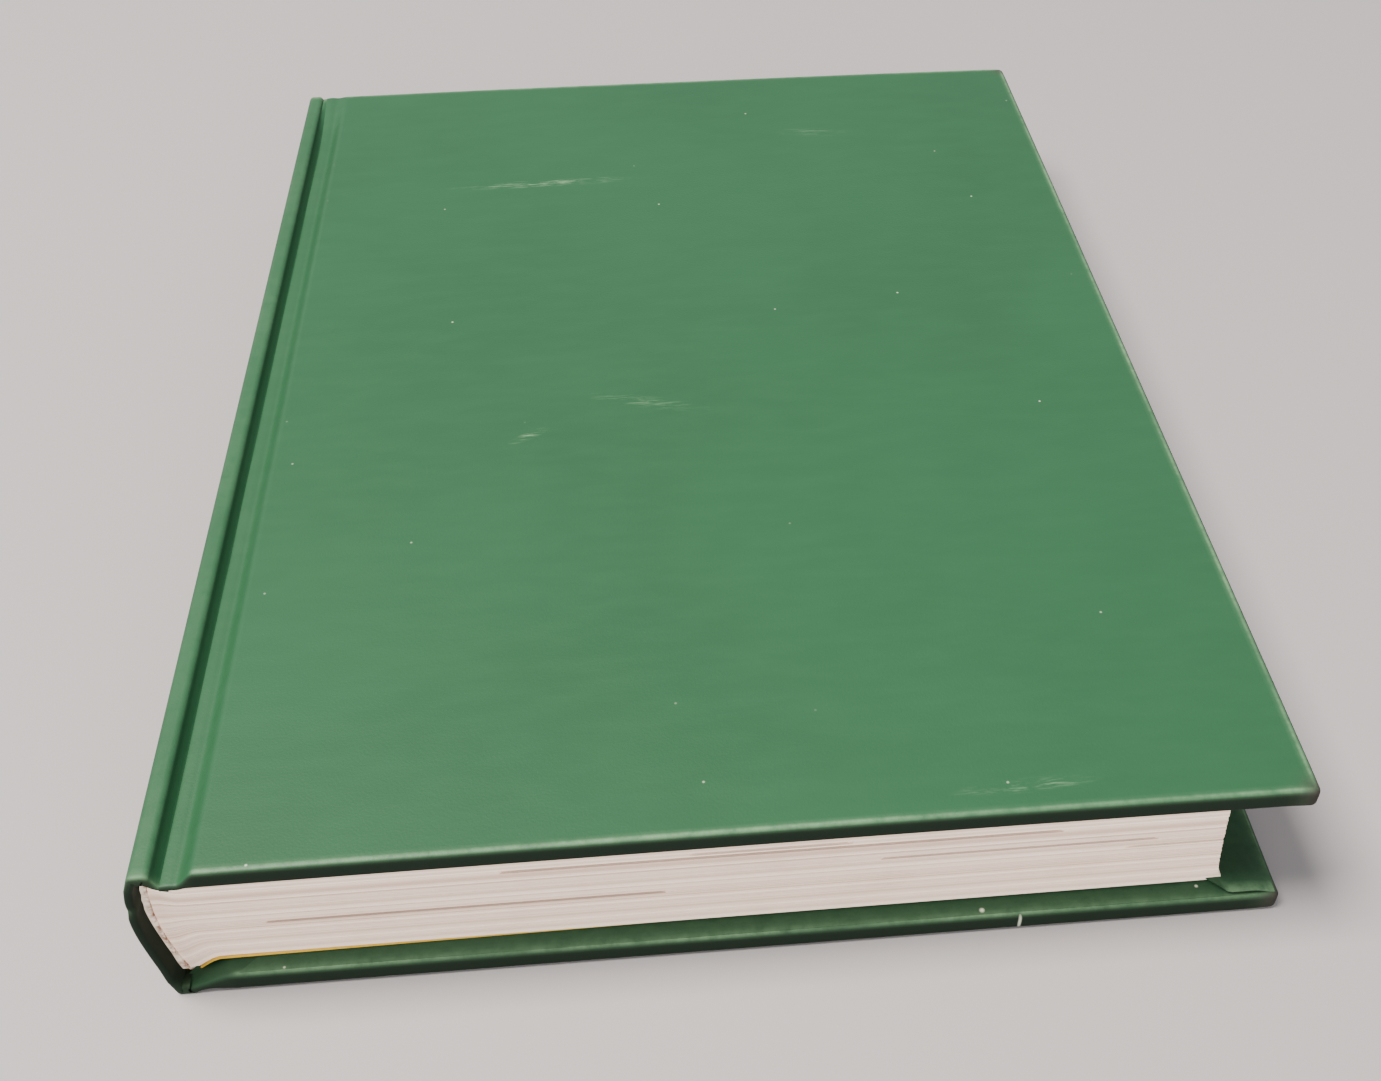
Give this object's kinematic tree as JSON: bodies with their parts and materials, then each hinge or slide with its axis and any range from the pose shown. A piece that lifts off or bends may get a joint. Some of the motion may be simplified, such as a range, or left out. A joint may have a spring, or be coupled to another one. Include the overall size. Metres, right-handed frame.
{
  "type": "pilot logbook",
  "caption": "Thick hardback pilot logbook with a rounded spine, grooved cloth-covered boards that swing open, yellow endpapers, sewn sections and turning leaves.",
  "frame": {"origin": "middle of the closed book's outline, on the surface that the back cover lies on", "axes": "+X from the spine to the fore edge, +Y from the tail to the head, +Z from the back cover to the front cover"},
  "size_m": [0.2086, 0.27, 0.0365],
  "materials": {
    "green_cloth": "smooth coated book cloth, semi-gloss",
    "board": "grey binder's board, matte",
    "spine_card": "flexible spine card, matte",
    "yellow_endpaper": "yellow endpaper, matte",
    "log_paper": "uncoated cream ledger paper, matte",
    "lining_paper": "white lining paper, matte",
    "mull": "open-weave cotton mull, matte",
    "linen_tape": "linen sewing tape, matte",
    "linen_thread": "waxed linen thread, satin"
  },
  "bodies": {
    "text_block": {"back_flyleaf_root": "yellow_endpaper", "back_joint_cloth": "green_cloth", "front_flyleaf_root": "yellow_endpaper", "front_joint_cloth": "green_cloth", "leaf_roots": "log_paper", "lining_paper": "lining_paper", "mull": "mull", "section_01": "log_paper", "section_02": "log_paper", "section_03": "log_paper", "section_04": "log_paper", "section_05": "log_paper", "section_06": "log_paper", "section_07": "log_paper", "section_08": "log_paper", "section_09": "log_paper", "section_10": "log_paper", "section_11": "log_paper", "section_12": "log_paper", "section_13": "log_paper", "sewing_tapes": "linen_tape", "sewing_thread": "linen_thread", "spine_cloth": "green_cloth", "spine_inlay": "spine_card"},
    "front_cover": {"front_board": "board", "front_cover_cloth": "green_cloth", "front_mull_flange": "mull", "front_pastedown": "yellow_endpaper"},
    "back_cover": {"back_board": "board", "back_cover_cloth": "green_cloth", "back_mull_flange": "mull", "back_pastedown": "yellow_endpaper"},
    "front_flyleaf_body": {"front_flyleaf": "yellow_endpaper"},
    "title_leaf_body": {"title_leaf": "log_paper"},
    "log_leaf_1_body": {"log_leaf_1": "log_paper"},
    "log_leaf_2_body": {"log_leaf_2": "log_paper"},
    "log_leaf_3_body": {"log_leaf_3": "log_paper"},
    "log_leaf_4_body": {"log_leaf_4": "log_paper"},
    "back_flyleaf_body": {"back_flyleaf": "yellow_endpaper"}
  },
  "joints": [
    {"name": "front_cover_hinge", "type": "hinge", "parent": "text_block", "child": "front_cover", "pos_m": [-0.09675, 0, 0.035], "axis": [0, -1, 0], "range_deg": [0, 179]},
    {"name": "back_cover_hinge", "type": "hinge", "parent": "text_block", "child": "back_cover", "pos_m": [-0.09675, 0, 0.0015], "axis": [0, 1, 0], "range_deg": [0, 179]},
    {"name": "front_flyleaf_turn", "type": "hinge", "parent": "text_block", "child": "front_flyleaf_body", "pos_m": [-0.09675, 0, 0.035], "axis": [0, -1, 0], "range_deg": [0, 176.32]},
    {"name": "title_leaf_turn", "type": "hinge", "parent": "text_block", "child": "title_leaf_body", "pos_m": [-0.09675, 0, 0.035], "axis": [0, -1, 0], "range_deg": [0, 172.74]},
    {"name": "log_leaf_1_turn", "type": "hinge", "parent": "text_block", "child": "log_leaf_1_body", "pos_m": [-0.09675, 0, 0.035], "axis": [0, -1, 0], "range_deg": [0, 169.16]},
    {"name": "log_leaf_2_turn", "type": "hinge", "parent": "text_block", "child": "log_leaf_2_body", "pos_m": [-0.09675, 0, 0.035], "axis": [0, -1, 0], "range_deg": [0, 164.68]},
    {"name": "log_leaf_3_turn", "type": "hinge", "parent": "text_block", "child": "log_leaf_3_body", "pos_m": [-0.09675, 0, 0.035], "axis": [0, -1, 0], "range_deg": [0, 159.31]},
    {"name": "log_leaf_4_turn", "type": "hinge", "parent": "text_block", "child": "log_leaf_4_body", "pos_m": [-0.09675, 0, 0.035], "axis": [0, -1, 0], "range_deg": [0, 152.15]},
    {"name": "back_flyleaf_turn", "type": "hinge", "parent": "text_block", "child": "back_flyleaf_body", "pos_m": [-0.09675, 0, 0.0015], "axis": [0, 1, 0], "range_deg": [0, 176.32]}
  ],
  "couplings": [
    {"joint": "front_flyleaf_turn", "follows": "front_cover_hinge", "ratio": 0.985},
    {"joint": "title_leaf_turn", "follows": "front_cover_hinge", "ratio": 0.965},
    {"joint": "log_leaf_1_turn", "follows": "front_cover_hinge", "ratio": 0.945},
    {"joint": "log_leaf_2_turn", "follows": "front_cover_hinge", "ratio": 0.92},
    {"joint": "log_leaf_3_turn", "follows": "front_cover_hinge", "ratio": 0.89},
    {"joint": "log_leaf_4_turn", "follows": "front_cover_hinge", "ratio": 0.85},
    {"joint": "back_flyleaf_turn", "follows": "back_cover_hinge", "ratio": 0.985}
  ]
}
